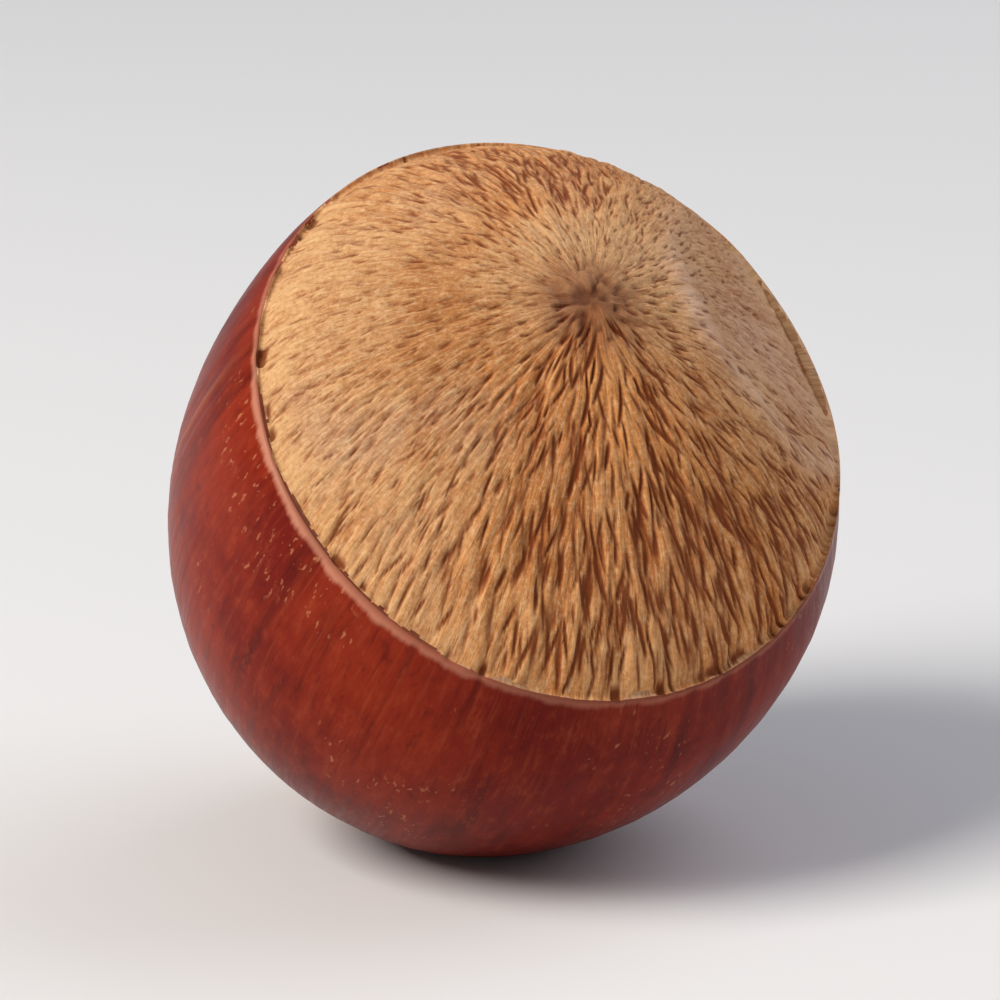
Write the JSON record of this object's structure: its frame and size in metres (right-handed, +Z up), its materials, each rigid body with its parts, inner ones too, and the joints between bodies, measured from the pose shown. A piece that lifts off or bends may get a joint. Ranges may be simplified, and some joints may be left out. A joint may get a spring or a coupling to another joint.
{
  "type": "hazelnut",
  "caption": "Whole hazelnut in its shell, lying on its flank: satin red-brown shell, blunt point, and a broad domed scar of pale radial fibres",
  "frame": {"origin": "middle of the small flat spot on the flank that the nut rests on, at the very bottom", "axes": "+Z up, square to the flat spot; the scar faces up and to the front, towards -Y; the point is low at the back; +X is to the right seen from the front"},
  "size_m": [0.0208, 0.0207, 0.0213],
  "materials": {
    "nutshell": "satin shell, matt fibrous scar"
  },
  "bodies": {
    "root": {"hazelnut": "nutshell"}
  },
  "joints": []
}
